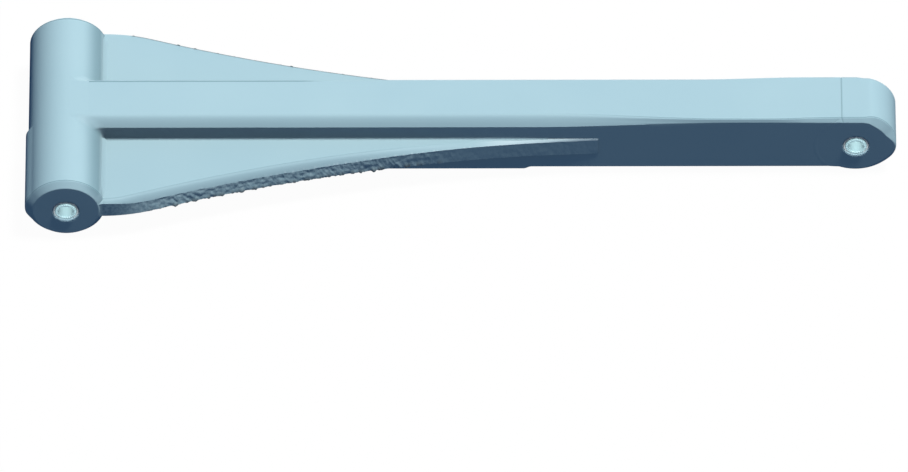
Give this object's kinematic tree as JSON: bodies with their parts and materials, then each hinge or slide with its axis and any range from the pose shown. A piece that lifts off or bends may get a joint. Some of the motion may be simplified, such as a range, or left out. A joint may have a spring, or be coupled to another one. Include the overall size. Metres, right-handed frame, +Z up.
{
  "type": "gate opener link arm",
  "caption": "Welded gate opener link arm: a wide pivot barrel braced by swept gusset plates, a long box beam and a round eye, with hollow pivot sleeves turning in plain bushes.",
  "frame": {"origin": "middle of the pivot barrel's bolt bore, on its axis", "axes": "+X from the pivot barrel to the eye, both bores along Y, +Z up; the front is the -Y side"},
  "size_m": [0.473, 0.1284, 0.044],
  "materials": {
    "paint": "satin pale blue paint over welded steel, fine spray texture",
    "zinc_steel": "bright zinc plated, turned",
    "bronze": "sintered bronze, oiled",
    "polymer": "pale matte polymer"
  },
  "bodies": {
    "arm": {"barrel_tube": "paint", "box_beam": "paint", "gusset_front": "paint", "gusset_rear": "paint", "eye_boss": "paint", "barrel_beam_weld": "paint", "gusset_front_barrel_weld": "paint", "gusset_rear_barrel_weld": "paint", "gusset_front_beam_weld": "paint", "gusset_rear_beam_weld": "paint", "eye_beam_weld": "paint", "barrel_bush_front": "bronze", "barrel_bush_rear": "bronze", "eye_bush_front": "bronze", "eye_bush_rear": "bronze", "barrel_wiper_front": "polymer", "barrel_wiper_rear": "polymer", "eye_wiper_front": "polymer", "eye_wiper_rear": "polymer"},
    "barrel_pivot": {"barrel_sleeve": "zinc_steel"},
    "eye_pivot": {"eye_sleeve": "zinc_steel"}
  },
  "joints": [
    {"name": "barrel_pivot_turn", "type": "hinge", "parent": "arm", "child": "barrel_pivot", "pos_m": [0, 0, 0], "axis": [0, 1, 0], "continuous": true},
    {"name": "eye_pivot_turn", "type": "hinge", "parent": "arm", "child": "eye_pivot", "pos_m": [0.43, 0, 0], "axis": [0, 1, 0], "continuous": true}
  ]
}
